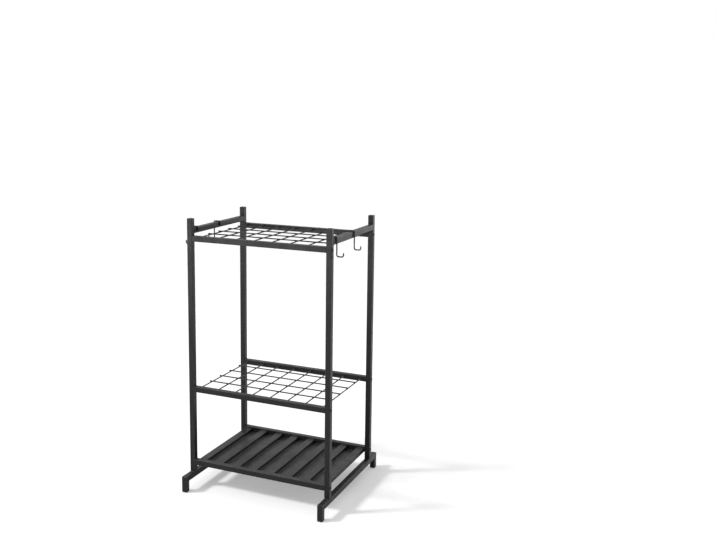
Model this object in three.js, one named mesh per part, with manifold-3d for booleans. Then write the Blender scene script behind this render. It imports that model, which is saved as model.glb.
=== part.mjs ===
// Freestanding rack for long garden tools, in millimetres.
// Four square steel posts stand on two base tubes with short legs. Two wire grids keep the handles
// apart, a ribbed tray carries the tools' lower ends, and wire hooks hang on the two side rails.
// +Z is up, +X is the rack's right and -Y its front. The origin is on the floor below its middle.

import * as THREE from 'three';
import { mergeVertices } from 'three/addons/utils/BufferGeometryUtils.js';
import Module from 'manifold-3d';

// Overall size, over the outer faces of the posts
const frameWidth = 620;
const frameDepth = 440;

// Heights above the floor
const postTopHeight = 1103;
const middleRailTopHeight = 424.5;
const baseTubeTopHeight = 65;

// How far the top faces of the other rails lie below the posts' top ends or above the base tubes
const sideRailDrop = 36;
const topRailDrop = 66;
const trayRailRise = 52;

// Square steel tube of the posts, rails, base tubes and legs
const tubeSize = 22;
const tubeWall = 1.2;
const tubeCornerRadius = 2;

// Gap left at each butt joint and where one wire lies on another
const jointGap = 0.1;

// Legs: how far their centres stand out past the posts' centres, and the glide under each
const legOverhang = 64;
const glideHeight = 4;
const glideInset = 0.8;
const glidePlugLength = 12;
const glidePlugClearance = 0.3;

// Plastic caps in the post tops
const capFlangeThickness = 2;
const capPlugLength = 14;
const capPlugClearance = 0.3;

// Wire grids: cells across and front to back, and how far the wires keep from posts and rail tops
const gridColumns = 7;
const gridRows = 5;
const wireDiameter = 5;
const outerWireInset = 18.5;
const wireOverhang = 5;
const gridTopInset = 0.5;

// Tray sheet, with a flat-topped rib below each front-to-back wire and both side edges folded down
const trayHeight = 15;
const traySheetThickness = 1;
const trayRibWidth = 32;
const trayFlankRun = 3;

// Wire hooks that hang over the side rails
const hookWireDiameter = 5;
const hookClearance = 0.5;
const hookInnerLegLength = 14;
const hookDrop = 48;
const hookReach = 27;
const hookTipHeight = 13;
const hookBendRadius = 7;
const frontHookInset = 20;
const hookSpacing = 170;

// How far a cutting or joining solid runs past the face that it starts from
const overrun = 1;

// How finely round stretches are divided
const cornerSegments = 1;
const wireSides = 12;
const hookSides = 4;
const hookSteps = 80;

// Places that several pieces share
const sideRailTopHeight = postTopHeight - sideRailDrop;
const topRailTopHeight = postTopHeight - topRailDrop;
const trayRailTopHeight = baseTubeTopHeight + trayRailRise;
const postX = (frameWidth - tubeSize) / 2;
const postY = (frameDepth - tubeSize) / 2;
const legY = postY + legOverhang;
const boreSize = tubeSize - 2 * tubeWall;
const boreCornerRadius = tubeCornerRadius - tubeWall;
const innerWidth = frameWidth - 2 * tubeSize;
const innerDepth = frameDepth - 2 * tubeSize;
const crossLength = innerWidth - 2 * jointGap;
const depthLength = innerDepth - 2 * jointGap;
const columnPitch = (innerWidth - 2 * outerWireInset) / gridColumns;
const rowPitch = innerDepth / gridRows;
const baseTubeHeight = baseTubeTopHeight - tubeSize / 2;

const sides = [
  { name: 'left', sign: -1 },
  { name: 'right', sign: 1 },
];
const ends = [
  { name: 'front', sign: -1 },
  { name: 'rear', sign: 1 },
];

const { Manifold, Mesh: SolidMesh } = await loadSolids();

async function loadSolids() {
  const library = await Module();
  library.setup();
  return library;
}

const coatedSteel = new THREE.MeshStandardMaterial({ color: 0x26272a, roughness: 0.5, metalness: 0.25 });
const coatedWire = new THREE.MeshStandardMaterial({ color: 0x2e3034, roughness: 0.42, metalness: 0.3 });
const blackPlastic = new THREE.MeshStandardMaterial({ color: 0x151516, roughness: 0.6, metalness: 0 });

// A named piece with its own origin at (x, y, z)
function addPiece(name, geometry, material, x, y, z) {
  const piece = new THREE.Mesh(geometry, material.clone());
  piece.name = name;
  piece.position.set(x, y, z);
  rack.add(piece);
  return piece;
}

function turnAlongX(piece) {
  piece.rotation.y = Math.PI / 2;
}

function turnAlongY(piece) {
  piece.rotation.x = Math.PI / 2;
}

// Traces a square with round corners, centred on the path's origin
function traceSquare(path, size, radius) {
  const place = size / 2 - radius;
  path.absarc(place, -place, radius, -Math.PI / 2, 0);
  path.absarc(place, place, radius, 0, Math.PI / 2);
  path.absarc(-place, place, radius, Math.PI / 2, Math.PI);
  path.absarc(-place, -place, radius, Math.PI, Math.PI * 3 / 2);
  return path;
}

// Square tube, open at both ends, centred on the origin and running along Z
function squareTubeGeometry(length) {
  const outline = traceSquare(new THREE.Shape(), tubeSize, tubeCornerRadius);
  outline.holes.push(traceSquare(new THREE.Path(), boreSize, boreCornerRadius));
  const options = { depth: length, bevelEnabled: false, curveSegments: cornerSegments };
  const geometry = new THREE.ExtrudeGeometry(outline, options);
  return geometry.translate(0, 0, -length / 2);
}

// Solid square block with round upright edges, between two heights
function blockGeometry(size, radius, bottom, top) {
  const outline = traceSquare(new THREE.Shape(), size, radius);
  const options = { depth: top - bottom, bevelEnabled: false, curveSegments: cornerSegments };
  const geometry = new THREE.ExtrudeGeometry(outline, options);
  return geometry.translate(0, 0, bottom);
}

// Closed geometry as a solid that can be joined and cut
function solidFrom(geometry) {
  geometry.deleteAttribute('normal');
  geometry.deleteAttribute('uv');
  const merged = mergeVertices(geometry);
  const vertProperties = merged.getAttribute('position').array;
  const triVerts = new Uint32Array(merged.getIndex().array);
  return new Manifold(new SolidMesh({ numProp: 3, vertProperties, triVerts }));
}

function geometryFrom(solid) {
  const mesh = solid.getMesh();
  const geometry = new THREE.BufferGeometry();
  geometry.setAttribute('position', new THREE.BufferAttribute(mesh.vertProperties, 3));
  geometry.setIndex(new THREE.BufferAttribute(mesh.triVerts, 1));
  geometry.computeVertexNormals();
  return geometry;
}

// Short upright tube with a closed top, open at its lower end
function legGeometry() {
  const bottom = glideHeight + jointGap;
  const outside = blockGeometry(tubeSize, tubeCornerRadius, bottom, baseTubeTopHeight);
  const boreTop = baseTubeTopHeight - tubeWall;
  const bore = blockGeometry(boreSize, boreCornerRadius, bottom - overrun, boreTop);
  return geometryFrom(solidFrom(outside).subtract(solidFrom(bore)));
}

// Low pad under a leg, on a plug that fits the leg's bore
function glideGeometry() {
  const padSize = tubeSize - 2 * glideInset;
  const plugSize = boreSize - 2 * glidePlugClearance;
  const plugTop = glideHeight + glidePlugLength;
  const pad = blockGeometry(padSize, tubeCornerRadius - glideInset, 0, glideHeight);
  const plug = blockGeometry(plugSize, boreCornerRadius, glideHeight / 2, plugTop);
  return geometryFrom(solidFrom(pad).add(solidFrom(plug)));
}

// Flange that covers a post's end, on a plug that fits the post's bore
function capGeometry() {
  const plugSize = boreSize - 2 * capPlugClearance;
  const flange = blockGeometry(tubeSize, tubeCornerRadius, 0, capFlangeThickness);
  const plug = blockGeometry(plugSize, boreCornerRadius, -capPlugLength, capFlangeThickness / 2);
  return geometryFrom(solidFrom(flange).add(solidFrom(plug)));
}

// Base tubes with a leg at each end, and a glide in each leg
function addBase() {
  const baseTubeLength = 2 * legY - tubeSize - 2 * jointGap;
  for (const side of sides) {
    const x = side.sign * postX;
    const baseTube = squareTubeGeometry(baseTubeLength);
    turnAlongY(addPiece(`base_tube_${side.name}`, baseTube, coatedSteel, x, 0, baseTubeHeight));
    for (const end of ends) {
      const y = end.sign * legY;
      addPiece(`leg_${end.name}_${side.name}`, legGeometry(), coatedSteel, x, y, 0);
      addPiece(`glide_${end.name}_${side.name}`, glideGeometry(), blackPlastic, x, y, 0);
    }
  }
}

// Four posts that stand on the base tubes, each with its cap
function addPosts() {
  const postBottom = baseTubeTopHeight + jointGap;
  const postLength = postTopHeight - postBottom;
  const postMiddle = (postTopHeight + postBottom) / 2;
  for (const side of sides) {
    for (const end of ends) {
      const x = side.sign * postX;
      const y = end.sign * postY;
      const post = squareTubeGeometry(postLength);
      addPiece(`post_${end.name}_${side.name}`, post, coatedSteel, x, y, postMiddle);
      const capBottom = postTopHeight + jointGap;
      addPiece(`post_cap_${end.name}_${side.name}`, capGeometry(), blackPlastic, x, y, capBottom);
    }
  }
}

// Cross rails at three levels, and a side rail between the tops of each pair of side posts
function addRails() {
  const levels = [
    { name: 'top', topHeight: topRailTopHeight },
    { name: 'middle', topHeight: middleRailTopHeight },
    { name: 'tray', topHeight: trayRailTopHeight },
  ];
  for (const level of levels) {
    const z = level.topHeight - tubeSize / 2;
    for (const end of ends) {
      const rail = squareTubeGeometry(crossLength);
      const name = `${level.name}_rail_${end.name}`;
      turnAlongX(addPiece(name, rail, coatedSteel, 0, end.sign * postY, z));
    }
  }
  for (const side of sides) {
    const z = sideRailTopHeight - tubeSize / 2;
    const rail = squareTubeGeometry(depthLength);
    turnAlongY(addPiece(`side_rail_${side.name}`, rail, coatedSteel, side.sign * postX, 0, z));
  }
}

// Place of copy number index in a centred row of count copies
function rowPlace(index, count, pitch) {
  return (index - (count - 1) / 2) * pitch;
}

// One grid between a front and a rear rail: wires from front to back, and wires across on top of them
function addGrid(gridName, railTopHeight) {
  const wireRadius = wireDiameter / 2;
  const upperZ = railTopHeight - gridTopInset - wireRadius;
  const lowerZ = upperZ - wireDiameter - jointGap;
  const upperLength = gridColumns * columnPitch + 2 * wireOverhang;
  const lowerCount = gridColumns + 1;
  const upperCount = gridRows - 1;
  for (let index = 0; index < lowerCount; index += 1) {
    const wire = new THREE.CylinderGeometry(wireRadius, wireRadius, depthLength, wireSides);
    const x = rowPlace(index, lowerCount, columnPitch);
    addPiece(`${gridName}_long_wire_${index + 1}`, wire, coatedWire, x, 0, lowerZ);
  }
  for (let index = 0; index < upperCount; index += 1) {
    const wire = new THREE.CylinderGeometry(wireRadius, wireRadius, upperLength, wireSides);
    const y = rowPlace(index, upperCount, rowPitch);
    const piece = addPiece(`${gridName}_cross_wire_${index + 1}`, wire, coatedWire, 0, y, upperZ);
    piece.rotation.z = Math.PI / 2;
  }
}

// Section line of one face of the tray sheet from edge to edge, with a groove below each column of
// cells. Depth is how far this face lies below the sheet's upper face.
function trayFaceLine(depth) {
  const top = trayHeight - depth;
  const grooveFloor = traySheetThickness - depth;
  const flankAngle = Math.atan2(trayHeight - traySheetThickness, trayFlankRun);
  const flankShift = depth * Math.tan(flankAngle / 2);
  const mouthReach = (columnPitch - trayRibWidth) / 2 + flankShift;
  const floorReach = mouthReach - trayFlankRun;
  const edge = (gridColumns * columnPitch + trayRibWidth) / 2 - depth;
  const line = [new THREE.Vector2(-edge, 0), new THREE.Vector2(-edge, top)];
  for (let index = 0; index < gridColumns; index += 1) {
    const x = rowPlace(index, gridColumns, columnPitch);
    line.push(new THREE.Vector2(x - mouthReach, top));
    line.push(new THREE.Vector2(x - floorReach, grooveFloor));
    line.push(new THREE.Vector2(x + floorReach, grooveFloor));
    line.push(new THREE.Vector2(x + mouthReach, top));
  }
  line.push(new THREE.Vector2(edge, top), new THREE.Vector2(edge, 0));
  return line;
}

// Ribbed sheet between the tray rails, flush with the rails' undersides
function addTraySheet() {
  const lowerLine = trayFaceLine(traySheetThickness).reverse();
  const section = new THREE.Shape([...trayFaceLine(0), ...lowerLine]);
  const geometry = new THREE.ExtrudeGeometry(section, { depth: depthLength, bevelEnabled: false });
  geometry.translate(0, 0, -depthLength / 2);
  const bottom = trayRailTopHeight - tubeSize;
  turnAlongY(addPiece('tray_sheet', geometry, coatedSteel, 0, 0, bottom));
}

// A path drawn in a plane, used as a curve in space: across becomes X and up becomes Z
class UprightCurve extends THREE.Curve {
  constructor(path) {
    super();
    this.path = path;
  }

  getPoint(t, target = new THREE.Vector3()) {
    const point = this.path.getPoint(t);
    return target.set(point.x, 0, point.y);
  }
}

// Centre line of a hook, seen along its rail. The origin is the middle of the rail's section.
function hookPath() {
  const wireRadius = hookWireDiameter / 2;
  const legPlace = tubeSize / 2 + hookClearance + wireRadius;
  const saddleRadius = tubeCornerRadius + hookClearance + wireRadius;
  const saddleCorner = legPlace - saddleRadius;
  const armHeight = -tubeSize / 2 - hookDrop;
  const tipPlace = legPlace + hookReach;
  const path = new THREE.Path();
  path.moveTo(-legPlace, tubeSize / 2 - hookInnerLegLength);
  path.lineTo(-legPlace, saddleCorner);
  path.absarc(-saddleCorner, saddleCorner, saddleRadius, Math.PI, Math.PI / 2, true);
  path.absarc(saddleCorner, saddleCorner, saddleRadius, Math.PI / 2, 0, true);
  path.lineTo(legPlace, armHeight + hookBendRadius);
  path.absarc(legPlace + hookBendRadius, armHeight + hookBendRadius, hookBendRadius,
    Math.PI, Math.PI * 3 / 2);
  path.absarc(tipPlace - hookBendRadius, armHeight + hookBendRadius, hookBendRadius,
    Math.PI * 3 / 2, Math.PI * 2);
  path.lineTo(tipPlace, armHeight + hookTipHeight);
  return path;
}

function hookGeometry() {
  const section = new THREE.Shape();
  section.absarc(0, 0, hookWireDiameter / 2, 0, Math.PI * 2);
  const extrudePath = new UprightCurve(hookPath());
  return new THREE.ExtrudeGeometry(section, { extrudePath, steps: hookSteps, curveSegments: hookSides });
}

// Two hooks on each side rail, in its front half
function addHooks() {
  const z = sideRailTopHeight - tubeSize / 2;
  const frontHookY = frontHookInset - innerDepth / 2;
  const places = [
    { name: 'front', y: frontHookY },
    { name: 'rear', y: frontHookY + hookSpacing },
  ];
  for (const side of sides) {
    for (const place of places) {
      const x = side.sign * postX;
      const name = `hook_${place.name}_${side.name}`;
      const hook = addPiece(name, hookGeometry(), coatedWire, x, place.y, z);
      hook.rotation.z = side.sign < 0 ? Math.PI : 0;
    }
  }
}

const rack = new THREE.Group();
addBase();
addPosts();
addRails();
addGrid('top_grid', topRailTopHeight);
addGrid('middle_grid', middleRailTopHeight);
addTraySheet();
addHooks();

export default rack;
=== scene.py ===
# %% [markdown]
# # A freestanding garden tool rack
#
# The real rack is a stand of square steel tube with a black powder coat. Two wire grids divide the
# room between its posts into cells, a tray of ribbed sheet is its floor, and loose wire hooks hang on
# the two side rails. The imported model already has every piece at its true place, but with plain
# corners and plain colours. This lesson remakes each piece with the form a camera sees: rounded tube
# corners, drawn wire, welds, screws, moulded caps and glides, each with a finish built from nodes.
#
# All lengths are in metres. The origin is on the floor below the middle of the rack, +Z is up, +X
# is the rack's right and -Y its front.

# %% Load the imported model
import math

import bmesh
import bpy
from mathutils import Matrix, Vector


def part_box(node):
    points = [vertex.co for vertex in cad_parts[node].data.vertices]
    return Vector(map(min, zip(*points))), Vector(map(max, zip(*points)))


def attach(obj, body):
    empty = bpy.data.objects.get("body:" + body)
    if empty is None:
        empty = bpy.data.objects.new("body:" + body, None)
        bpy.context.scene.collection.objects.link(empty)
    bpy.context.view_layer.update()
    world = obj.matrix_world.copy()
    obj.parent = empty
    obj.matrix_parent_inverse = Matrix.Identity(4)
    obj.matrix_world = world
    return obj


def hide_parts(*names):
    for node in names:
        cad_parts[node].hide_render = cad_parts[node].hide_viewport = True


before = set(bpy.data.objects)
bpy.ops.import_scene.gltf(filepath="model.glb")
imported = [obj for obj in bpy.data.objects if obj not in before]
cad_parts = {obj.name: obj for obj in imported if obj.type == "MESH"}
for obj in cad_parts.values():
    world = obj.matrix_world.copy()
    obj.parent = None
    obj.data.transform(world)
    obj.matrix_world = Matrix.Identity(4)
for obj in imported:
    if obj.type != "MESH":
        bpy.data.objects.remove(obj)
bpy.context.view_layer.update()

# %% [markdown]
# ## The camera
#
# The rack is seen from its front and right, from a little above its top. The camera could be placed
# by eye, but the straight edges of posts and rails give its place exactly: a pinhole camera is
# fitted until they fall where the picture has them. It is written here as a point on the rack's
# middle plane that it looks at, a distance, and three angles. The shift moves the rack left and up in
# the frame without turning the camera, so the posts keep their upright look.

# %% Camera
quarter_turn = math.radians(90)
camera_target = Vector((0.1845, 0.0, 1.0648))
camera_distance = 3.482
camera_azimuth = math.radians(24.07)
camera_pitch = math.radians(8.46)
camera_roll = math.radians(0.46)
camera_sensor_width = 36.0
camera_lens = 44.68
camera_shift_x = 0.0463
camera_shift_y = -0.0562

camera_data = bpy.data.cameras.new("camera")
camera_data.sensor_width = camera_sensor_width
camera_data.lens = camera_lens
camera_data.shift_x = camera_shift_x
camera_data.shift_y = camera_shift_y
camera = bpy.data.objects.new("camera", camera_data)
bpy.context.scene.collection.objects.link(camera)

camera_turn = Matrix.Rotation(camera_azimuth, 4, "Z")
camera_turn = camera_turn @ Matrix.Rotation(quarter_turn - camera_pitch, 4, "X")
camera_turn = camera_turn @ Matrix.Rotation(camera_roll, 4, "Z")
look_direction = camera_turn @ Vector((0, 0, -1))
camera.rotation_euler = camera_turn.to_euler()
camera.location = camera_target - camera_distance * look_direction
bpy.context.scene.camera = camera
print("camera at", [round(place, 3) for place in camera.location])

# %% [markdown]
# ## Building finishes from nodes
#
# A finish is a small tree of nodes that ends in one Principled shader. Noise textures read the
# Object coordinates, which are metres on the rack itself, so a pattern has a real size and stays
# on its piece. Writing each node out takes four or five lines, so a few helpers do the joining.

# %% Start of a finish
def start_finish(name):
    """A new material with its Principled shader and the coordinates that its patterns read."""
    material = bpy.data.materials.new(name)
    material.use_nodes = True
    tree = material.node_tree
    coordinates = tree.nodes.new("ShaderNodeTexCoord")
    return material, tree, tree.nodes["Principled BSDF"], coordinates


def join_or_set(tree, socket, value):
    """Joins a socket to another node's output, or sets it to a plain value."""
    if isinstance(value, bpy.types.NodeSocket):
        tree.links.new(value, socket)
    else:
        socket.default_value = value


print("a finish starts with coordinates and a shader")

# %% Noise, arithmetic, blends and relief
def noise(tree, coordinates, size, detail):
    """A noise whose lumps are about as wide as size, with finer layers added by detail."""
    node = tree.nodes.new("ShaderNodeTexNoise")
    tree.links.new(coordinates.outputs["Object"], node.inputs["Vector"])
    node.inputs["Scale"].default_value = 1 / size
    node.inputs["Detail"].default_value = detail
    return node.outputs["Fac"]


def calculate(tree, operation, first, second):
    """One step of arithmetic on two values."""
    node = tree.nodes.new("ShaderNodeMath")
    node.operation = operation
    join_or_set(tree, node.inputs[0], first)
    join_or_set(tree, node.inputs[1], second)
    return node.outputs["Value"]


def spread(tree, value, old_range, new_range):
    """Turns one range of values into another, and stops at its ends."""
    node = tree.nodes.new("ShaderNodeMapRange")
    node.clamp = True
    node.inputs["From Min"].default_value, node.inputs["From Max"].default_value = old_range
    node.inputs["To Min"].default_value, node.inputs["To Max"].default_value = new_range
    tree.links.new(value, node.inputs["Value"])
    return node.outputs["Result"]


def blend_colours(tree, share, first, second):
    """Mixes two colours, all first at a share of 0 and all second at 1."""
    node = tree.nodes.new("ShaderNodeMixRGB")
    join_or_set(tree, node.inputs["Fac"], share)
    join_or_set(tree, node.inputs["Color1"], first)
    join_or_set(tree, node.inputs["Color2"], second)
    return node.outputs["Color"]


def add_relief(tree, shader, height, depth):
    """Lets a height pattern tilt the light on the surface, without moving the mesh."""
    node = tree.nodes.new("ShaderNodeBump")
    node.inputs["Strength"].default_value = 1.0
    node.inputs["Distance"].default_value = depth
    tree.links.new(height, node.inputs["Height"])
    tree.links.new(node.outputs["Normal"], shader.inputs["Normal"])


print("helpers for finishes are ready")

# %% [markdown]
# ## Tones and masks
#
# A black coat isn't one black. Dust settles on what faces up, and the coat rubs thin along the
# corners. What faces up is painted lighter, partly as that dust and partly as painted top light.
# The corners could be painted by hand on every tube. Here the surface's own direction finds
# them: the tubes stand square to the axes, so only a rounded corner faces between two axes, and the
# largest part of its direction is well below 1.

# %% Tones and masks
full_shares = (0.0, 1.0)
upward_shares = (0.4, 1.0)
flat_to_corner_shares = (0.98, 0.8)


def shade(level, warmth=0.0):
    """A grey of a given level, a little warm above 0 and a little cool below it."""
    return (level * (1 + warmth), level, level * (1 - warmth), 1.0)


def facing_up(tree, coordinates):
    """How nearly a surface faces up, from 0 on a wall to 1 on a level top."""
    node = tree.nodes.new("ShaderNodeSeparateXYZ")
    tree.links.new(coordinates.outputs["Normal"], node.inputs["Vector"])
    return spread(tree, node.outputs["Z"], upward_shares, full_shares)


def corner_mask(tree, coordinates):
    """1 on the rounded corners of a tube that stands square to the axes, 0 on its flat sides."""
    positive = tree.nodes.new("ShaderNodeVectorMath")
    positive.operation = "ABSOLUTE"
    tree.links.new(coordinates.outputs["Normal"], positive.inputs[0])
    parts = tree.nodes.new("ShaderNodeSeparateXYZ")
    tree.links.new(positive.outputs["Vector"], parts.inputs["Vector"])
    largest = calculate(tree, "MAXIMUM", parts.outputs["X"], parts.outputs["Y"])
    largest = calculate(tree, "MAXIMUM", largest, parts.outputs["Z"])
    return spread(tree, largest, flat_to_corner_shares, full_shares)


print("helpers for tones and masks are ready")

# %% [markdown]
# ## Powder coat on the tubes
#
# Powder coat is a plastic powder that melts onto the steel in an oven. It never flows quite flat:
# it leaves a fine skin like an orange's, with lumps a little over a millimetre wide, and a finer
# grain on them. The black drifts slightly in tone from one place to the next. Each of these could be
# an image, but noises of the right width do as well and never repeat.

# %% Patterns of the coat
mm = 0.001

# Slow drift of the tone
drift_size = 140 * mm
drift_shares = (0.3, 0.7)
darkest_share = 0.8
darkest_warmth = -0.05
lightest_share = 1.25
lightest_warmth = -0.02

# Dust and painted top light on what faces up
dust_and_top_light_patch_size = 26 * mm
dust_and_top_light_patch_shares = (0.35, 0.7)
dust_and_top_light_cover_shares = (0.1, 0.4)

# Thin places along the corners
rub_patch_size = 9 * mm
rub_patch_shares = (0.42, 0.66)
rub_depth_shares = (0.15, 1.0)


def drifting_black(tree, coordinates, black):
    """The coat's own black, a little darker here and a little lighter there."""
    drift = spread(tree, noise(tree, coordinates, drift_size, detail=3.0), drift_shares, full_shares)
    darkest = shade(black * darkest_share, darkest_warmth)
    lightest = shade(black * lightest_share, lightest_warmth)
    return blend_colours(tree, drift, darkest, lightest)


def dust_and_top_light(tree, coordinates):
    """How much dust and painted top light cover each place, in patches on what faces up."""
    patches = noise(tree, coordinates, dust_and_top_light_patch_size, detail=5.0)
    cover = spread(tree, patches, dust_and_top_light_patch_shares, dust_and_top_light_cover_shares)
    return calculate(tree, "MULTIPLY", facing_up(tree, coordinates), cover)


def rubbed_corners(tree, coordinates, worn_share):
    """How far the coat is rubbed thin, in patches along the corners."""
    patches = noise(tree, coordinates, rub_patch_size, detail=4.0)
    depth = spread(tree, patches, rub_patch_shares, rub_depth_shares)
    worn = calculate(tree, "MULTIPLY", corner_mask(tree, coordinates), depth)
    return calculate(tree, "MULTIPLY", worn, worn_share)


print("patterns of the coat are", rub_patch_size, "to", drift_size, "m wide")

# %% Powder coat
# Pale warm grey of the dust, which also stands in for painted top light on upward faces.
dust_and_top_light_colour = shade(0.085, warmth=0.06)
rubbed_colour = shade(0.12)
gloss_patch_size = 45 * mm
gloss_patch_shares = (0.3, 0.7)
dust_roughness = 0.3
coat_specular = 0.15
grains_per_lump = 5
grain_depth_share = 0.25
tube_peel_size = 1.6 * mm
tube_peel_depth = 0.07 * mm


def powder_coat(name, black, peel_size, peel_depth, roughnesses, worn_share):
    """Satin black coat with an orange-peel skin, dust with painted top light on what faces up, and thin
    corners.
    """
    material, tree, shader, coordinates = start_finish(name)
    colour = drifting_black(tree, coordinates, black)
    dust_and_top_light_cover = dust_and_top_light(tree, coordinates)
    # Upward faces are painted lighter here: partly dust, partly painted top light.
    colour = blend_colours(tree, dust_and_top_light_cover, colour, dust_and_top_light_colour)
    worn = rubbed_corners(tree, coordinates, worn_share)
    colour = blend_colours(tree, worn, colour, rubbed_colour)
    tree.links.new(colour, shader.inputs["Base Color"])

    patches = noise(tree, coordinates, gloss_patch_size, detail=4.0)
    roughness = spread(tree, patches, gloss_patch_shares, roughnesses)
    dusty = calculate(tree, "MULTIPLY", dust_and_top_light_cover, dust_roughness)
    tree.links.new(calculate(tree, "ADD", roughness, dusty), shader.inputs["Roughness"])
    shader.inputs["Specular IOR Level"].default_value = coat_specular

    peel = noise(tree, coordinates, peel_size, detail=1.0)
    grain = noise(tree, coordinates, peel_size / grains_per_lump, detail=2.0)
    grain = calculate(tree, "MULTIPLY", grain, grain_depth_share)
    add_relief(tree, shader, calculate(tree, "ADD", peel, grain), peel_depth)
    return material


tube_coat = powder_coat(
    "tube_coat",
    black=0.010,
    peel_size=tube_peel_size,
    peel_depth=tube_peel_depth,
    roughnesses=(0.3, 0.44),
    worn_share=0.6,
)
print("tube coat has", len(tube_coat.node_tree.nodes), "nodes")

# %% [markdown]
# ## The same coat on wire
#
# The grids and hooks are drawn wire in the same black. Powder pulls thinner and flatter over a thin
# round wire, so the skin is finer and a little glossier. A wire has no corners, so nothing is worn
# there, and the same function is called with other values.

# %% Wire coat
wire_peel_size = 1.0 * mm
wire_peel_depth = 0.03 * mm
wire_coat = powder_coat(
    "wire_coat",
    black=0.015,
    peel_size=wire_peel_size,
    peel_depth=wire_peel_depth,
    roughnesses=(0.26, 0.38),
    worn_share=0.0,
)
print("wire coat has", len(wire_coat.node_tree.nodes), "nodes")

# %% [markdown]
# ## Moulded plastic
#
# The caps in the post tops and the glides under the legs are black moulded plastic. A mould is
# etched so that scratches don't show, which leaves a dense grain a few tenths of a millimetre wide
# and a dull surface. A coarser noise adds the faint cloudiness of handled plastic.

# %% Plastic of caps and glides
cloud_size = 12 * mm
cloud_shares = (0.3, 0.7)
clear_black = shade(0.011)
cloudy_black = shade(0.02)
plastic_roughnesses = (0.5, 0.66)
plastic_specular = 0.35
etching_size = 0.4 * mm
etching_depth = 0.03 * mm


def moulded_plastic(name):
    """Dull black plastic with an etched grain."""
    material, tree, shader, coordinates = start_finish(name)
    clouds = spread(tree, noise(tree, coordinates, cloud_size, detail=3.0), cloud_shares, full_shares)
    colour = blend_colours(tree, clouds, clear_black, cloudy_black)
    tree.links.new(colour, shader.inputs["Base Color"])
    roughness = spread(tree, clouds, full_shares, plastic_roughnesses)
    tree.links.new(roughness, shader.inputs["Roughness"])
    shader.inputs["Specular IOR Level"].default_value = plastic_specular
    add_relief(tree, shader, noise(tree, coordinates, etching_size, detail=3.0), etching_depth)
    return material


cap_plastic = moulded_plastic("cap_plastic")
print("plastic has", len(cap_plastic.node_tree.nodes), "nodes")

# %% [markdown]
# ## Blackened screws
#
# The screws are steel with a thin black oxide, not a coat of powder. It is still metal, so the
# shader is metallic with a dark colour, with a fine grain from a small noise and paler, smoother
# patches where a key has touched it.

# %% Black oxide on steel
touched_patch_size = 3 * mm
touched_patch_shares = (0.4, 0.7)
oxide_colour = shade(0.035, warmth=-0.03)
touched_colour = shade(0.075)
oxide_roughnesses = (0.44, 0.3)
oxide_metallic = 0.85
oxide_grain_size = 0.3 * mm
oxide_grain_depth = 0.01 * mm


def black_oxide(name):
    """Dark metallic steel with a fine grain and patches that a key has touched."""
    material, tree, shader, coordinates = start_finish(name)
    patches = noise(tree, coordinates, touched_patch_size, detail=4.0)
    touched = spread(tree, patches, touched_patch_shares, full_shares)
    colour = blend_colours(tree, touched, oxide_colour, touched_colour)
    tree.links.new(colour, shader.inputs["Base Color"])
    roughness = spread(tree, touched, full_shares, oxide_roughnesses)
    tree.links.new(roughness, shader.inputs["Roughness"])
    shader.inputs["Metallic"].default_value = oxide_metallic
    add_relief(tree, shader, noise(tree, coordinates, oxide_grain_size, detail=2.0), oxide_grain_depth)
    return material


screw_steel = black_oxide("screw_steel")
print("screw steel has", len(screw_steel.node_tree.nodes), "nodes")

# %% [markdown]
# ## Modelling by selection
#
# Each new piece starts as a primitive and is shaped in edit mode, as by hand. There is no mouse
# here, so faces and edges are picked by where they are and which way they point. An operator acts on
# everything that is selected, so each helper first clears the selection. Three limits say what counts
# as parallel to a direction or as square to it, and how near to the level of a rim an edge counts as
# part of it.

# %% Helpers for selecting
nearly_parallel = 0.99
nearly_square = 1 - nearly_parallel
edge_reach = 0.1 * mm


def pick(*objects):
    """Leaves just these objects selected, the first of them active."""
    bpy.ops.object.select_all(action="DESELECT")
    for item in objects:
        item.select_set(True)
    bpy.context.view_layer.objects.active = objects[0]


def select_faces(wanted):
    """In edit mode, selects just the faces whose middle and normal pass a test."""
    bpy.ops.mesh.select_mode(type="FACE")
    bpy.ops.mesh.select_all(action="DESELECT")
    shape = bmesh.from_edit_mesh(bpy.context.object.data)
    for face in shape.faces:
        if wanted(face.calc_center_median(), face.normal):
            face.select_set(True)
    bmesh.update_edit_mesh(bpy.context.object.data)


def select_edges(wanted):
    """In edit mode, selects just the edges whose middle and direction pass a test."""
    bpy.ops.mesh.select_mode(type="EDGE")
    bpy.ops.mesh.select_all(action="DESELECT")
    shape = bmesh.from_edit_mesh(bpy.context.object.data)
    for edge in shape.edges:
        start, end = (vertex.co for vertex in edge.verts)
        if wanted((start + end) / 2, (end - start).normalized()):
            edge.select_set(True)
    bmesh.update_edit_mesh(bpy.context.object.data)


print("helpers for selecting are ready")

# %% Helpers for adding and pulling
def settle(name):
    """Names the active object and moves its place, turn and scale into its mesh."""
    piece = bpy.context.object
    piece.name = name
    piece.data.name = name
    bpy.ops.object.transform_apply(location=True, rotation=True, scale=True)
    return piece


def add_block(name, low, high):
    """A cube stretched between two opposite corners."""
    bpy.ops.mesh.primitive_cube_add(size=1, location=(low + high) / 2, scale=high - low)
    return settle(name)


def pull(x, z):
    """In edit mode, extrudes what is selected straight on."""
    bpy.ops.mesh.extrude_region_move(TRANSFORM_OT_translate={"value": (x, 0, z)})


print("helpers for adding and pulling are ready")

# %% Helpers for walls and shading
smoothing_angle = math.radians(40)


def apply_modifier(piece, kind, **settings):
    """Adds a modifier, sets it and applies it, so that the mesh holds its result."""
    pick(piece)
    bpy.ops.object.modifier_add(type=kind)
    modifier = piece.modifiers[-1]
    for name, value in settings.items():
        setattr(modifier, name, value)
    bpy.ops.object.modifier_apply(modifier=modifier.name)


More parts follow.
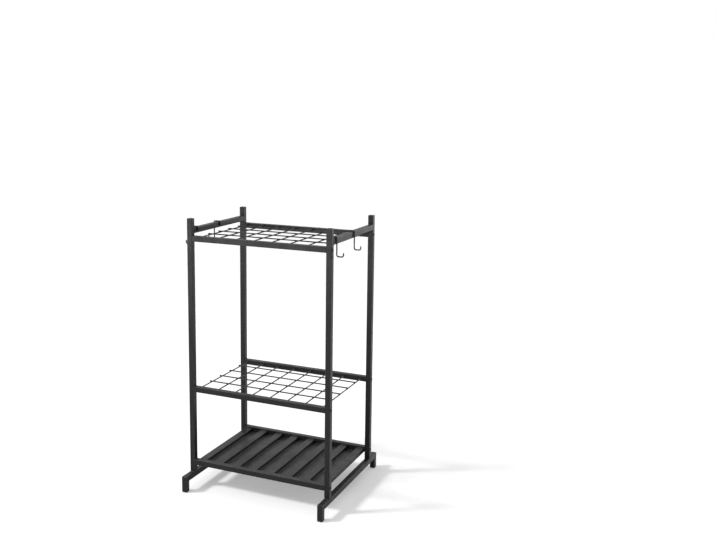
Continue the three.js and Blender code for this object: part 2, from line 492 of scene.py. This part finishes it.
def grow_wall(piece, thickness):
    """Turns an open skin into a sheet, growing it to the inside."""
    apply_modifier(piece, "SOLIDIFY", thickness=thickness, offset=-1.0, use_even_offset=True)


def smooth_flat_and_round(piece):
    """Shades rounded stretches smooth, and leaves the flat faces beside them evenly flat."""
    pick(piece)
    bpy.ops.object.shade_smooth_by_angle(angle=smoothing_angle)
    apply_modifier(piece, "WEIGHTED_NORMAL", keep_sharp=True)


print("helpers for walls and shading are ready")

# %% [markdown]
# ## Handing pieces over
#
# A finished piece gets its material and the body that it rides on when a joint moves, and the CAD
# nodes that it stands for are hidden. Most pieces come in sets that differ only in their place. Each set
# could be modelled piece by piece, but one model and its copies are quicker and exactly alike. The
# boxes of the CAD nodes say where each copy goes.

# %% Helpers for copying and handing over
def copy_piece(source, name, offset, turn=0.0):
    """A copy with its own mesh, turned about the rack's upright axis and then moved."""
    pick(source)
    bpy.ops.object.duplicate(linked=False)
    if turn:
        bpy.ops.transform.rotate(value=turn, orient_axis="Z", center_override=(0, 0, 0))
    bpy.ops.transform.translate(value=offset)
    return settle(name)


def hand_over(piece, body, material, slot, *nodes):
    """Gives a piece its finish and the body it rides on, and hides the CAD nodes that it stands for."""
    piece.data.materials.clear()
    piece.data.materials.append(material)
    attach(piece, body)
    if nodes:
        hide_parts(*nodes)


def middle_of(node):
    """The middle of a CAD node's box."""
    low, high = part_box(node)
    return (low + high) / 2


def make_set(nodes, make_one, material, slot):
    """Models the first node's piece, copies it to the other nodes and hands all of them over."""
    model = make_one(nodes[0])
    pieces = [model]
    for node in nodes[1:]:
        name = model.name.replace(nodes[0], node)
        pieces.append(copy_piece(model, name, middle_of(node) - middle_of(nodes[0])))
    for piece, node in zip(pieces, nodes):
        hand_over(piece, "frame", material, slot, node)
    print(len(pieces), "pieces like", model.name, "with", len(model.data.polygons), "faces each")


print("helpers for copying and handing over are ready")

# %% [markdown]
# ## Square tube
#
# Posts, rails and base tubes are all cut from one square tube with rounded corners and a thin wall.
# An extruded profile would do, but it has to be drawn first. It is quicker to take a cube, delete
# its two end faces, bevel the four long edges and let Solidify grow the wall inwards.

# %% Tube maker
tube_wall = 1.2 * mm
tube_corner_radius = 2 * mm
corner_steps = 6


def make_tube(node):
    """A rounded hollow tube that fills a CAD node's box, open at its two ends."""
    low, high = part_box(node)
    size = high - low
    along = Vector([1.0 if side == max(size) else 0.0 for side in size])
    piece = add_block(f"coated_{node}", low, high)
    bpy.ops.object.mode_set(mode="EDIT")
    select_faces(lambda middle, normal: abs(normal.dot(along)) > nearly_parallel)
    bpy.ops.mesh.delete(type="ONLY_FACE")
    select_edges(lambda middle, direction: abs(direction.dot(along)) > nearly_parallel)
    bpy.ops.mesh.bevel(offset=tube_corner_radius, segments=corner_steps, affect="EDGES")
    bpy.ops.object.mode_set(mode="OBJECT")
    grow_wall(piece, tube_wall)
    smooth_flat_and_round(piece)
    return piece


print("tubes have a wall of", tube_wall, "m and corners of", corner_steps, "steps")

# %% Posts, rails and base tubes
sides = ["left", "right"]
ends = ["front", "rear"]
levels = ["top", "middle", "tray"]
corners = [(end, side) for end in ends for side in sides]


def at_corners(kind):
    """The names of the four nodes of one kind that stand at the rack's corners."""
    return [f"{kind}_{end}_{side}" for end, side in corners]


cross_rails = [f"{level}_rail_{end}" for level in levels for end in ends]
side_rails = [f"side_rail_{side}" for side in sides]
base_tubes = [f"base_tube_{side}" for side in sides]
for nodes in [at_corners("post"), cross_rails, side_rails, base_tubes]:
    make_set(nodes, make_tube, tube_coat, "tube_coat")

# %% [markdown]
# ## Tray
#
# The tray is one steel sheet. Flat-topped ribs are pressed into it to make it stiff, one below each
# front-to-back wire, and its two side edges are folded down. Cutting it from a solid would take many
# cuts, so it is folded from a strip, as in a press: the left edge is a plane, and each next strip is
# pulled out of the last edge, up, across and down again. A bevel rounds the folds, and Solidify then
# gives the sheet its thickness downwards, so that the ribs keep their height.

# %% Ribs of the tray
tray_sheet_thickness = 1 * mm
tray_rib_width = 32 * mm
tray_flank_run = 3 * mm
rib_count = 8
tray_low, tray_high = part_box("tray_sheet")
rib_pitch = (tray_high.x - tray_low.x - tray_rib_width) / (rib_count - 1)


def pull_ribs():
    """In edit mode, pulls the whole ribbed section out of the strip's top edge."""
    height = tray_high.z - tray_low.z
    groove_depth = height - tray_sheet_thickness
    groove_floor = rib_pitch - tray_rib_width - 2 * tray_flank_run
    pull(tray_rib_width, 0)
    for groove in range(rib_count - 1):
        pull(tray_flank_run, -groove_depth)
        pull(groove_floor, 0)
        pull(tray_flank_run, groove_depth)
        pull(tray_rib_width, 0)
    pull(0, -height)


print(rib_count, "ribs stand", round(rib_pitch, 4), "m apart")

# %% Tray sheet
tray_fold_size = 2 * mm
tray_fold_steps = 5


def face_up(piece):
    """In edit mode, turns all faces of an open sheet the same way, with most of them facing up."""
    bpy.ops.mesh.select_all(action="SELECT")
    bpy.ops.mesh.normals_make_consistent(inside=False)
    shape = bmesh.from_edit_mesh(piece.data)
    if sum(face.normal.z for face in shape.faces) < 0:
        bpy.ops.mesh.flip_normals()


def make_tray():
    """The ribbed sheet, pulled fold by fold from its left edge to its right."""
    size = tray_high - tray_low
    left_edge = Vector((tray_low.x, 0, (tray_low.z + tray_high.z) / 2))
    upright = (0, -quarter_turn, 0)
    bpy.ops.mesh.primitive_plane_add(size=1, location=left_edge, rotation=upright)
    bpy.ops.transform.resize(value=(1, size.y, size.z), center_override=left_edge)
    piece = settle("coated_tray_sheet")
    bpy.ops.object.mode_set(mode="EDIT")
    top_edge = tray_high.z - edge_reach
    select_edges(lambda middle, direction: middle.z > top_edge)
    pull_ribs()
    face_up(piece)
    lowest_fold = tray_low.z + edge_reach
    select_edges(lambda middle, direction: abs(direction.y) > nearly_parallel and middle.z > lowest_fold)
    bpy.ops.mesh.bevel(offset=tray_fold_size, segments=tray_fold_steps, affect="EDGES")
    bpy.ops.object.mode_set(mode="OBJECT")
    grow_wall(piece, tray_sheet_thickness)
    smooth_flat_and_round(piece)
    return piece


tray_sheet = make_tray()
hand_over(tray_sheet, "frame", tube_coat, "tube_coat", "tray_sheet")
print("the tray sheet has", len(tray_sheet.data.polygons), "faces")

# %% [markdown]
# ## Legs
#
# Each base tube ends in a short upright leg of the same square tube, closed at the top so that rain
# stays out. The cube keeps its top face this time, with soft edges all round it, and only the
# bottom is opened before the wall grows inwards.

# %% Leg stubs
leg_top_edge = 1 * mm
leg_top_steps = 3


def make_leg(node):
    """A short tube with a closed, soft-edged top."""
    low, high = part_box(node)
    piece = add_block(f"coated_{node}", low, high)
    bpy.ops.object.mode_set(mode="EDIT")
    select_faces(lambda middle, normal: normal.z < -nearly_parallel)
    bpy.ops.mesh.delete(type="ONLY_FACE")
    select_edges(lambda middle, direction: abs(direction.z) > nearly_parallel)
    bpy.ops.mesh.bevel(offset=tube_corner_radius, segments=corner_steps, affect="EDGES")
    top_rim = high.z - edge_reach
    select_edges(lambda middle, direction: middle.z > top_rim)
    bpy.ops.mesh.bevel(offset=leg_top_edge, segments=leg_top_steps, affect="EDGES")
    bpy.ops.object.mode_set(mode="OBJECT")
    grow_wall(piece, tube_wall)
    smooth_flat_and_round(piece)
    return piece


make_set(at_corners("leg"), make_leg, tube_coat, "tube_coat")

# %% [markdown]
# ## Glides
#
# A plastic glide is pushed up into each leg so that the cut steel doesn't scratch the floor. It is
# a low pad with a chamfered foot, and a plug that grips inside the tube. Both come from one block:
# the pad's top face is inset and then extruded up into the leg.

# %% Glides
glide_pad_height = 4 * mm
glide_corner_radius = 1.6 * mm
glide_foot_chamfer = 1.2 * mm
glide_foot_steps = 2
glide_plug_inset = 0.8 * mm


def make_glide(node):
    """The plastic foot of one leg, with the plug that holds it."""
    low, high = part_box(node)
    pad_top = Vector((high.x, high.y, low.z + glide_pad_height))
    piece = add_block(f"moulded_{node}", low, pad_top)
    bpy.ops.object.mode_set(mode="EDIT")
    select_edges(lambda middle, direction: abs(direction.z) > nearly_parallel)
    bpy.ops.mesh.bevel(offset=glide_corner_radius, segments=corner_steps, affect="EDGES")
    foot_rim = low.z + edge_reach
    select_edges(lambda middle, direction: middle.z < foot_rim)
    bpy.ops.mesh.bevel(offset=glide_foot_chamfer, segments=glide_foot_steps, affect="EDGES")
    select_faces(lambda middle, normal: normal.z > nearly_parallel)
    bpy.ops.mesh.inset(thickness=glide_plug_inset)
    pull(0, high.z - pad_top.z)
    bpy.ops.object.mode_set(mode="OBJECT")
    smooth_flat_and_round(piece)
    return piece


make_set(at_corners("glide"), make_glide, cap_plastic, "cap_plastic")

# %% [markdown]
# ## Post caps
#
# The open top of each post is closed by a moulded cap: a thin flange as wide as the tube, soft at
# its edges, over a plug that sits in the bore. The flange is a flat block with its upright and top
# edges bevelled. Its underside is inset to the plug's width and extruded down, and the plug's tip
# is drawn in a little, as a real one is, so that it starts easily.

# %% Caps
cap_flange_thickness = 2 * mm
cap_top_edge = 1.3 * mm
cap_plug_inset = 1.5 * mm
cap_plug_length = 14 * mm
cap_lead_length = 3 * mm
cap_lead_share = 0.9


def make_cap(node):
    """A flange with a soft top and a tapered plug below it."""
    low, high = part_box(node)
    bottom = Vector((low.x, low.y, high.z - cap_flange_thickness))
    flange_middle = (bottom + high) / 2
    piece = add_block(f"moulded_{node}", bottom, high)
    bpy.ops.object.mode_set(mode="EDIT")
    select_edges(lambda middle, direction: abs(direction.z) > nearly_parallel)
    bpy.ops.mesh.bevel(offset=tube_corner_radius, segments=corner_steps, affect="EDGES")
    top_rim = high.z - edge_reach
    select_edges(lambda middle, direction: middle.z > top_rim)
    bpy.ops.mesh.bevel(offset=cap_top_edge, segments=corner_steps, affect="EDGES")
    select_faces(lambda middle, normal: normal.z < -nearly_parallel)
    bpy.ops.mesh.inset(thickness=cap_plug_inset)
    pull(0, cap_lead_length - cap_plug_length)
    pull(0, -cap_lead_length)
    bpy.ops.transform.resize(value=(cap_lead_share, cap_lead_share, 1), center_override=flange_middle)
    bpy.ops.object.mode_set(mode="OBJECT")
    smooth_flat_and_round(piece)
    return piece


make_set(at_corners("post_cap"), make_cap, cap_plastic, "cap_plastic")

# %% [markdown]
# ## Grid wires
#
# Each grid is a mat of straight drawn wires: eight run from front to back and four lie across on
# top of them. A cylinder is the right start, with its cut ends broken by a small bevel, as a
# cropped wire is deburred before coating. It is laid along the CAD node's longest side.

# %% Wire maker
wire_sides = 24
wire_end_chamfer = 0.6 * mm
wire_end_steps = 3


def make_wire(node):
    """A straight wire with softened ends that fills a CAD node's box."""
    low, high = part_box(node)
    size = high - low
    lies_along_x = size.x > size.y
    turn = (0, quarter_turn, 0) if lies_along_x else (quarter_turn, 0, 0)
    bpy.ops.mesh.primitive_cylinder_add(
        vertices=wire_sides,
        radius=size.z / 2,
        depth=max(size),
        location=middle_of(node),
        rotation=turn,
    )
    piece = settle(f"coated_{node}")
    along = Vector((1, 0, 0)) if lies_along_x else Vector((0, 1, 0))
    bpy.ops.object.mode_set(mode="EDIT")
    select_edges(lambda middle, direction: abs(direction.dot(along)) < nearly_square)
    bpy.ops.mesh.bevel(offset=wire_end_chamfer, segments=wire_end_steps, affect="EDGES")
    bpy.ops.object.mode_set(mode="OBJECT")
    smooth_flat_and_round(piece)
    return piece


print("a wire has", wire_sides, "sides")

# %% Wires of both grids
long_wire_count = 8
cross_wire_count = 4
grids = ["top_grid", "middle_grid"]


def long_wires(grid):
    """The names of a grid's front-to-back wires."""
    return [f"{grid}_long_wire_{index + 1}" for index in range(long_wire_count)]


def cross_wires(grid):
    """The names of a grid's wires from left to right."""
    return [f"{grid}_cross_wire_{index + 1}" for index in range(cross_wire_count)]


for wires_of in [long_wires, cross_wires]:
    nodes = [node for grid in grids for node in wires_of(grid)]
    make_set(nodes, make_wire, wire_coat, "wire_coat")

# %% [markdown]
# ## Welds of the grids
#
# Where two wires cross they are pressed together and welded by a current, which squeezes out a
# small flat bead. Where a wire meets a rail, a short collar of weld runs round it. Both are tiny,
# so an icosphere and a cone with few faces are enough. The copies of one grid are joined to a
# single piece, because nobody would ever pick one weld on its own.

# %% Bead where wires cross
crossing_bead_radius = 3.4 * mm
crossing_bead_half_height = 1.9 * mm
crossing_bead_subdivisions = 2


def make_crossing_bead():
    """A flattened bead at the origin."""
    size = (crossing_bead_radius, crossing_bead_radius, crossing_bead_half_height)
    bpy.ops.mesh.primitive_ico_sphere_add(
        subdivisions=crossing_bead_subdivisions, radius=1, scale=size
    )
    piece = settle("crossing_bead")
    bpy.ops.object.shade_smooth()
    return piece


bead_model = make_crossing_bead()
print("a bead has", len(bead_model.data.polygons), "faces")

# %% Collar where a wire meets a rail
collar_length = 2.2 * mm
collar_base_radius = 4.3 * mm
collar_tip_radius = 2.7 * mm
collar_sides = 14
collar_edge = 0.5 * mm
collar_edge_steps = 2
collar_smoothing_angle = math.radians(70)


def make_collar():
    """A collar of weld at the origin, its wide end against a face at y = 0 and its wire along -Y."""
    bpy.ops.mesh.primitive_cone_add(
        vertices=collar_sides,
        radius1=collar_base_radius,
        radius2=collar_tip_radius,
        depth=collar_length,
        location=(0, -collar_length / 2, 0),
        rotation=(quarter_turn, 0, 0),
    )
    piece = settle("wire_collar")
    bpy.ops.object.mode_set(mode="EDIT")
    tip_rim = -collar_length + edge_reach
    select_edges(lambda middle, direction: middle.y < tip_rim)
    bpy.ops.mesh.bevel(offset=collar_edge, segments=collar_edge_steps, affect="EDGES")
    bpy.ops.object.mode_set(mode="OBJECT")
    bpy.ops.object.shade_smooth_by_angle(angle=collar_smoothing_angle)
    return piece


collar_model = make_collar()
print("a collar has", len(collar_model.data.polygons), "faces")

# %% Welds laid on both grids
half_turn = 2 * quarter_turn


def drop(piece):
    """Removes a model that was only there to be copied."""
    pick(piece)
    bpy.ops.object.delete()


def hand_over_joined(welds, name, material, slot):
    """Joins the copies of a weld to one piece of the frame and hands it over."""
    count = len(welds)
    pick(*welds)
    bpy.ops.object.join()
    piece = settle(name)
    hand_over(piece, "frame", material, slot)
    print(name, "joins", count, "welds in", len(piece.data.polygons), "faces")


for grid in grids:
    welds = []
    for across in cross_wires(grid):
        for along in long_wires(grid):
            lower, upper = middle_of(along), middle_of(across)
            place = Vector((lower.x, upper.y, (lower.z + upper.z) / 2))
            welds.append(copy_piece(bead_model, "bead", place))
    for along in long_wires(grid):
        low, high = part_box(along)
        place = middle_of(along)
        welds.append(copy_piece(collar_model, "collar", (place.x, high.y, place.z)))
        welds.append(copy_piece(collar_model, "collar", (place.x, low.y, place.z), half_turn))
    hand_over_joined(welds, f"{grid}_welds", wire_coat, "wire_coat")
drop(bead_model)
drop(collar_model)

# %% [markdown]
# ## Weld beads on the tubes
#
# The side frames and the tray are welded. A bead is laid as a row of small overlapping puddles, so
# it looks like a short stack of coins along the joint. A rod is cut across by subdividing its long
# edges, every other ring is drawn in, and its ends are made thin. A slight shake of the points
# keeps it from looking turned on a lathe. It lies half inside the corner that it fills.

# %% Bead maker
bead_radius = 1.9 * mm
bead_sides = 10
ripple_pitch = 1.9 * mm
valley_share = 0.8
bead_end_share = 0.45
bead_shake = 0.12 * mm
shake_seed = 7


def make_bead(length):
    """A rippled bead along X with its middle at the origin."""
    ripple_count = round(length / ripple_pitch)
    ring_spacing = length / (2 * ripple_count)
    bpy.ops.mesh.primitive_cylinder_add(
        vertices=bead_sides, radius=bead_radius, depth=length, rotation=(0, quarter_turn, 0)
    )
    piece = settle("weld_bead")
    bpy.ops.object.mode_set(mode="EDIT")
    select_edges(lambda middle, direction: abs(direction.x) > nearly_parallel)
    bpy.ops.mesh.subdivide(number_cuts=2 * ripple_count - 1)

    def in_valley(middle, direction):
        ring = (middle.x + length / 2) / ring_spacing
        return abs(direction.x) < nearly_square and round(ring) % 2 == 0

    select_edges(in_valley)
    bpy.ops.transform.resize(value=(1, valley_share, valley_share), center_override=(0, 0, 0))
    select_faces(lambda middle, normal: abs(normal.x) > nearly_parallel)
    bpy.ops.transform.resize(value=(1, bead_end_share, bead_end_share), center_override=(0, 0, 0))
    bpy.ops.mesh.select_all(action="SELECT")
    bpy.ops.transform.vertex_random(offset=bead_shake, seed=shake_seed)
    bpy.ops.object.mode_set(mode="OBJECT")
    bpy.ops.object.shade_smooth()
    return piece


print("beads have a ripple each", ripple_pitch, "m")

# %% Beads of the side frames
tube_bead_length = 18 * mm
side_frame_bead = make_bead(tube_bead_length)
side_frame_places = []
for side in sides:
    rail_low, rail_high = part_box(f"side_rail_{side}")
    rail_x = middle_of(f"side_rail_{side}").x
    for y in [rail_low.y, rail_high.y]:
        for z in [rail_low.z, rail_high.z]:
            side_frame_places.append((rail_x, y, z))
    base_low, base_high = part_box(f"base_tube_{side}")
    for y in [base_low.y, base_high.y]:
        side_frame_places.append((rail_x, y, base_low.z))
    for end in ends:
        post_low, post_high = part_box(f"post_{end}_{side}")
        for y in [post_low.y, post_high.y]:
            side_frame_places.append((rail_x, y, post_low.z))
side_frame_welds = [copy_piece(side_frame_bead, "bead", place) for place in side_frame_places]
hand_over_joined(side_frame_welds, "side_frame_welds", tube_coat, "tube_coat")
drop(side_frame_bead)

# %% Beads of the tray
rib_bead_length = 26 * mm
rib_bead = make_bead(rib_bead_length)
tray_welds = []
for index in range(rib_count):
    rib_x = tray_low.x + tray_rib_width / 2 + index * rib_pitch
    for y in [tray_low.y, tray_high.y]:
        tray_welds.append(copy_piece(rib_bead, "bead", (rib_x, y, tray_high.z)))
hand_over_joined(tray_welds, "tray_welds", tube_coat, "tube_coat")
drop(rib_bead)

# %% [markdown]
# ## Screws
#
# The cross rails are screwed to the posts, so that the rack packs flat. A button-head screw goes
# through each post from outside, level with each rail. The head is a short cylinder whose outer
# face is extruded and drawn in step by step along an arc. A six-sided cutter then takes out the
# key's socket with a Boolean, which is far easier than drawing a hexagon into a round face.

# %% Domed screw head
head_radius = 5.2 * mm
head_rim = 0.8 * mm
head_dome = 2.4 * mm
head_flat_radius = 2.9 * mm
head_sides = 36
dome_steps = 6


def make_screw_head():
    """A button head on the plane x = 0, its dome towards +X."""
    bpy.ops.mesh.primitive_cylinder_add(
        vertices=head_sides,
        radius=head_radius,
        depth=head_rim,
        location=(head_rim / 2, 0, 0),
        rotation=(0, quarter_turn, 0),
    )
    head = settle("screw_head")
    bpy.ops.object.mode_set(mode="EDIT")
    select_faces(lambda middle, normal: normal.x > nearly_parallel)
    height, radius = 0.0, head_radius
    for step in range(dome_steps):
        angle = quarter_turn * (step + 1) / dome_steps
        new_height = head_dome * math.sin(angle)
        new_radius = head_flat_radius + (head_radius - head_flat_radius) * math.cos(angle)
        shrink_share = new_radius / radius
        pull(new_height - height, 0)
        bpy.ops.transform.resize(value=(1, shrink_share, shrink_share), center_override=(0, 0, 0))
        height, radius = new_height, new_radius
    bpy.ops.object.mode_set(mode="OBJECT")
    return head


screw_model = make_screw_head()
print("a plain head has", len(screw_model.data.polygons), "faces")

# %% Socket for the key
head_smoothing_angle = math.radians(30)
socket_radius = 2.3 * mm
socket_depth = 2 * mm
socket_sides = 6


def cut_socket(head):
    """Takes the key's socket out of a head."""
    bpy.ops.mesh.primitive_cylinder_add(
        vertices=socket_sides,
        radius=socket_radius,
        depth=2 * socket_depth,
        location=(head_rim + head_dome, 0, 0),
        rotation=(0, quarter_turn, 0),
    )
    cutter = settle("socket_cutter")
    apply_modifier(head, "BOOLEAN", object=cutter, operation="DIFFERENCE", solver="EXACT")
    drop(cutter)
    pick(head)
    bpy.ops.object.shade_smooth_by_angle(angle=head_smoothing_angle)


cut_socket(screw_model)
print("with its socket it has", len(screw_model.data.polygons), "faces")

# %% Screws at their places
for level in levels:
    for end, side in corners:
        rail = middle_of(f"{level}_rail_{end}")
        post_low, post_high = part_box(f"post_{end}_{side}")
        turn = half_turn if side == "left" else 0.0
        face_x = post_low.x if side == "left" else post_high.x
        screw = copy_piece(screw_model, f"screw_{level}_{end}_{side}", (face_x, rail.y, rail.z), turn)
        hand_over(screw, "frame", screw_steel, "tube_coat")
print(len(levels) * len(corners), "screws at", len(levels), "levels")
drop(screw_model)

# %% [markdown]
# ## Sliding hooks
#
# Each hook is one bent wire. It hangs over the square rail, runs down outside it, and turns out
# and up into a short tip. A curve with a round bevel is one way to make it. Here it is bent as a
# machine would do it: a circle is extruded along each straight stretch and spun round each bend, in
# the order in which the wire is fed. Both cut ends are rounded off.

# %% Bends and tips of a wire
hook_wire_radius = 2.5 * mm
bend_steps = 8
tip_steps = 4
rail_middle = middle_of("side_rail_right")


def bend(x, z, angle):
    """Spins the end of the wire about a pin at (x, z), measured from the rail's middle.

    The axis points at a viewer in front, who sees a positive angle bend the wire clockwise.
    """
    pin = rail_middle + Vector((x, 0, z))
    bpy.ops.mesh.spin(steps=bend_steps, angle=angle, center=pin, axis=(0, -1, 0))


def round_off(x, z, outward):
    """Closes the end of the wire with a round tip. (x, z) is its middle, from the rail's middle."""
    end = rail_middle + Vector((x, 0, z))
    reach, share = 0.0, 1.0
    for step in range(tip_steps):
        angle = quarter_turn * (step + 1) / (tip_steps + 1)
        new_reach = hook_wire_radius * math.sin(angle)
        new_share = math.cos(angle)
        pull(0, outward * (new_reach - reach))
        shrink_share = new_share / share
        bpy.ops.transform.resize(value=(shrink_share, shrink_share, 1), center_override=end)
        reach, share = new_reach, new_share
    pull(0, outward * (hook_wire_radius - reach))
    bpy.ops.mesh.merge(type="CENTER")


print("bends take", bend_steps, "steps and tips", tip_steps)

# %% Sizes of a hook
hook_sides = 20
rail_half_width = 11 * mm
hook_clearance = 0.5 * mm
hook_inner_leg_length = 14 * mm
hook_drop = 48 * mm
hook_reach = 27 * mm
hook_tip_height = 13 * mm
hook_bend_radius = 7 * mm
merge_distance = 0.01 * mm
saddle_radius = tube_corner_radius + hook_clearance + hook_wire_radius
leg_place = rail_half_width + hook_clearance + hook_wire_radius
saddle_corner = leg_place - saddle_radius
print("the hook's legs stand", round(2 * leg_place, 4), "m apart")

# %% Hook maker
def make_hook():
    """One hook on the right side rail, in the plane of the rail's middle."""
    start_z = rail_half_width - hook_inner_leg_length
    arm_z = -rail_half_width - hook_drop
    bend_z = arm_z + hook_bend_radius
    tip_x = leg_place + hook_reach
    tip_z = arm_z + hook_tip_height
    wire_start = rail_middle + Vector((-leg_place, 0, start_z))
    bpy.ops.mesh.primitive_circle_add(vertices=hook_sides, radius=hook_wire_radius, location=wire_start)
    hook = settle("hook_model")
    bpy.ops.object.mode_set(mode="EDIT")
    bpy.ops.mesh.select_mode(type="EDGE")
    bpy.ops.mesh.select_all(action="SELECT")
    pull(0, saddle_corner - start_z)
    bend(-saddle_corner, saddle_corner, quarter_turn)
    pull(2 * saddle_corner, 0)
    bend(saddle_corner, saddle_corner, quarter_turn)
    pull(0, bend_z - saddle_corner)
    bend(leg_place + hook_bend_radius, bend_z, -quarter_turn)
    pull(hook_reach - 2 * hook_bend_radius, 0)
    bend(tip_x - hook_bend_radius, bend_z, -quarter_turn)
    pull(0, tip_z - bend_z)
    round_off(tip_x, tip_z, 1)
    first_ring = wire_start.z + edge_reach
    select_edges(lambda middle, direction: middle.x < rail_middle.x and middle.z < first_ring)
    round_off(-leg_place, start_z, -1)
    bpy.ops.mesh.select_all(action="SELECT")
    bpy.ops.mesh.remove_doubles(threshold=merge_distance)
    bpy.ops.mesh.normals_make_consistent(inside=False)
    bpy.ops.object.mode_set(mode="OBJECT")
    bpy.ops.object.shade_smooth()
    return hook


hook_model = make_hook()
cad_hook_low, cad_hook_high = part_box("hook_front_right")
print("hook size", [round(side, 4) for side in hook_model.dimensions])
print("CAD hook ", [round(side, 4) for side in cad_hook_high - cad_hook_low])

# %% Hooks at their places
for end, side in corners:
    node = f"hook_{end}_{side}"
    turn = half_turn if side == "left" else 0.0
    hook = copy_piece(hook_model, f"bent_{node}", (0, middle_of(node).y, 0), turn)
    hand_over(hook, node, wire_coat, "wire_coat", node)
print(len(corners), "hooks with", len(hook_model.data.polygons), "faces each")
drop(hook_model)

# %% [markdown]
# ## Floor
#
# The rack stands on a plain white floor that runs out of sight. A diffuse white never quite reaches
# full white in a picture, because it gives back only part of the light. A little emission makes up
# the rest, and only for rays from the camera, from glossy reflections and through glass, so
# the rack itself gets no more light from it and its shadow stays.

# %% White floor
floor_size = 60.0
floor_colour = (0.8, 0.8, 0.8, 1.0)
floor_roughness = 0.9
floor_lift = 0.25
full_white = (1.0, 1.0, 1.0, 1.0)


def seen_directly(tree):
    """1 for rays from the camera, from a reflection or through glass, 0 for the others."""
    path = tree.nodes.new("ShaderNodeLightPath")
    direct = calculate(tree, "ADD", path.outputs["Is Camera Ray"], path.outputs["Is Glossy Ray"])
    direct = calculate(tree, "ADD", direct, path.outputs["Is Transmission Ray"])
    return calculate(tree, "MINIMUM", direct, 1.0)


def white_floor(name):
    """Dull white that glows a little where it is seen directly."""
    material, tree, shader = start_finish(name)[:3]
    shader.inputs["Base Color"].default_value = floor_colour
    shader.inputs["Roughness"].default_value = floor_roughness
    shader.inputs["Specular IOR Level"].default_value = 0.0
    shader.inputs["Emission Color"].default_value = full_white
    lift = calculate(tree, "MULTIPLY", seen_directly(tree), floor_lift)
    tree.links.new(lift, shader.inputs["Emission Strength"])
    return material


bpy.ops.mesh.primitive_plane_add(size=floor_size)
floor = settle("floor")
floor.data.materials.append(white_floor("floor_white"))
print("floor is", floor_size, "m wide")

# %% [markdown]
# ## Light
#
# One soft sun from the left front throws the long, blurred streaks that the posts leave on the
# floor behind the rack, and the white world fills the shadows. A sun is easier than an area lamp
# here, because its shadows keep their direction over the whole floor. The world is white where it
# is seen or mirrored, and dimmer where it only lights things.
#
# Black satin tube shows little but what it mirrors. So two bright cards stand where the upper parts
# of the rack mirror them, one in front and one behind, as in a product studio. They give those parts
# a sheen that fades towards the floor. They are area lamps, whose size sets how wide the sheen is.

# %% Sun
sun_strength = 2.2
sun_height = math.radians(42)
sun_heading = math.radians(32)
sun_softness = math.radians(9)

sun_data = bpy.data.lights.new("sun", type="SUN")
sun_data.energy = sun_strength
sun_data.angle = sun_softness
sun = bpy.data.objects.new("sun", sun_data)
bpy.context.scene.collection.objects.link(sun)
flat = math.cos(sun_height)
travel = Vector((flat * math.cos(sun_heading), flat * math.sin(sun_heading), -math.sin(sun_height)))
sun.rotation_euler = travel.to_track_quat("-Z", "Y").to_euler()
print("sunlight travels along", [round(part, 3) for part in travel])

# %% Bright cards
cards_aim_at = Vector((0.0, 0.0, 0.8))
front_card_place = Vector((-0.9, -2.0, 0.75))
front_card_width = 1.6
front_card_height = 0.6
front_card_power = 20.0
rear_card_place = Vector((1.5, 2.9, 1.25))
rear_card_width = 2.0
rear_card_height = 1.0
rear_card_power = 26.0


def add_card(name, place, width, height, power):
    """A glowing rectangle that lights the rack and can be mirrored in it, but isn't seen itself."""
    card_data = bpy.data.lights.new(name, type="AREA")
    card_data.shape = "RECTANGLE"
    card_data.size = width
    card_data.size_y = height
    card_data.energy = power
    card = bpy.data.objects.new(name, card_data)
    bpy.context.scene.collection.objects.link(card)
    card.location = place
    card.rotation_euler = (cards_aim_at - place).to_track_quat("-Z", "Y").to_euler()
    card.visible_camera = False
    print(name, "is", width, "by", height, "m and", round((cards_aim_at - place).length, 2), "m away")


add_card("front_card", front_card_place, front_card_width, front_card_height, front_card_power)
add_card("rear_card", rear_card_place, rear_card_width, rear_card_height, rear_card_power)

# %% White world
world_fill = 0.5
world_seen = 1.0

world = bpy.data.worlds.new("white_room")
world.use_nodes = True
bpy.context.scene.world = world
background = world.node_tree.nodes["Background"]
background.inputs["Color"].default_value = full_white
seen = seen_directly(world.node_tree)
world_light = spread(world.node_tree, seen, full_shares, (world_fill, world_seen))
world.node_tree.links.new(world_light, background.inputs["Strength"])
bpy.context.scene.view_settings.view_transform = "Standard"
print("world lights with", world_fill, "and is seen as", world_seen)
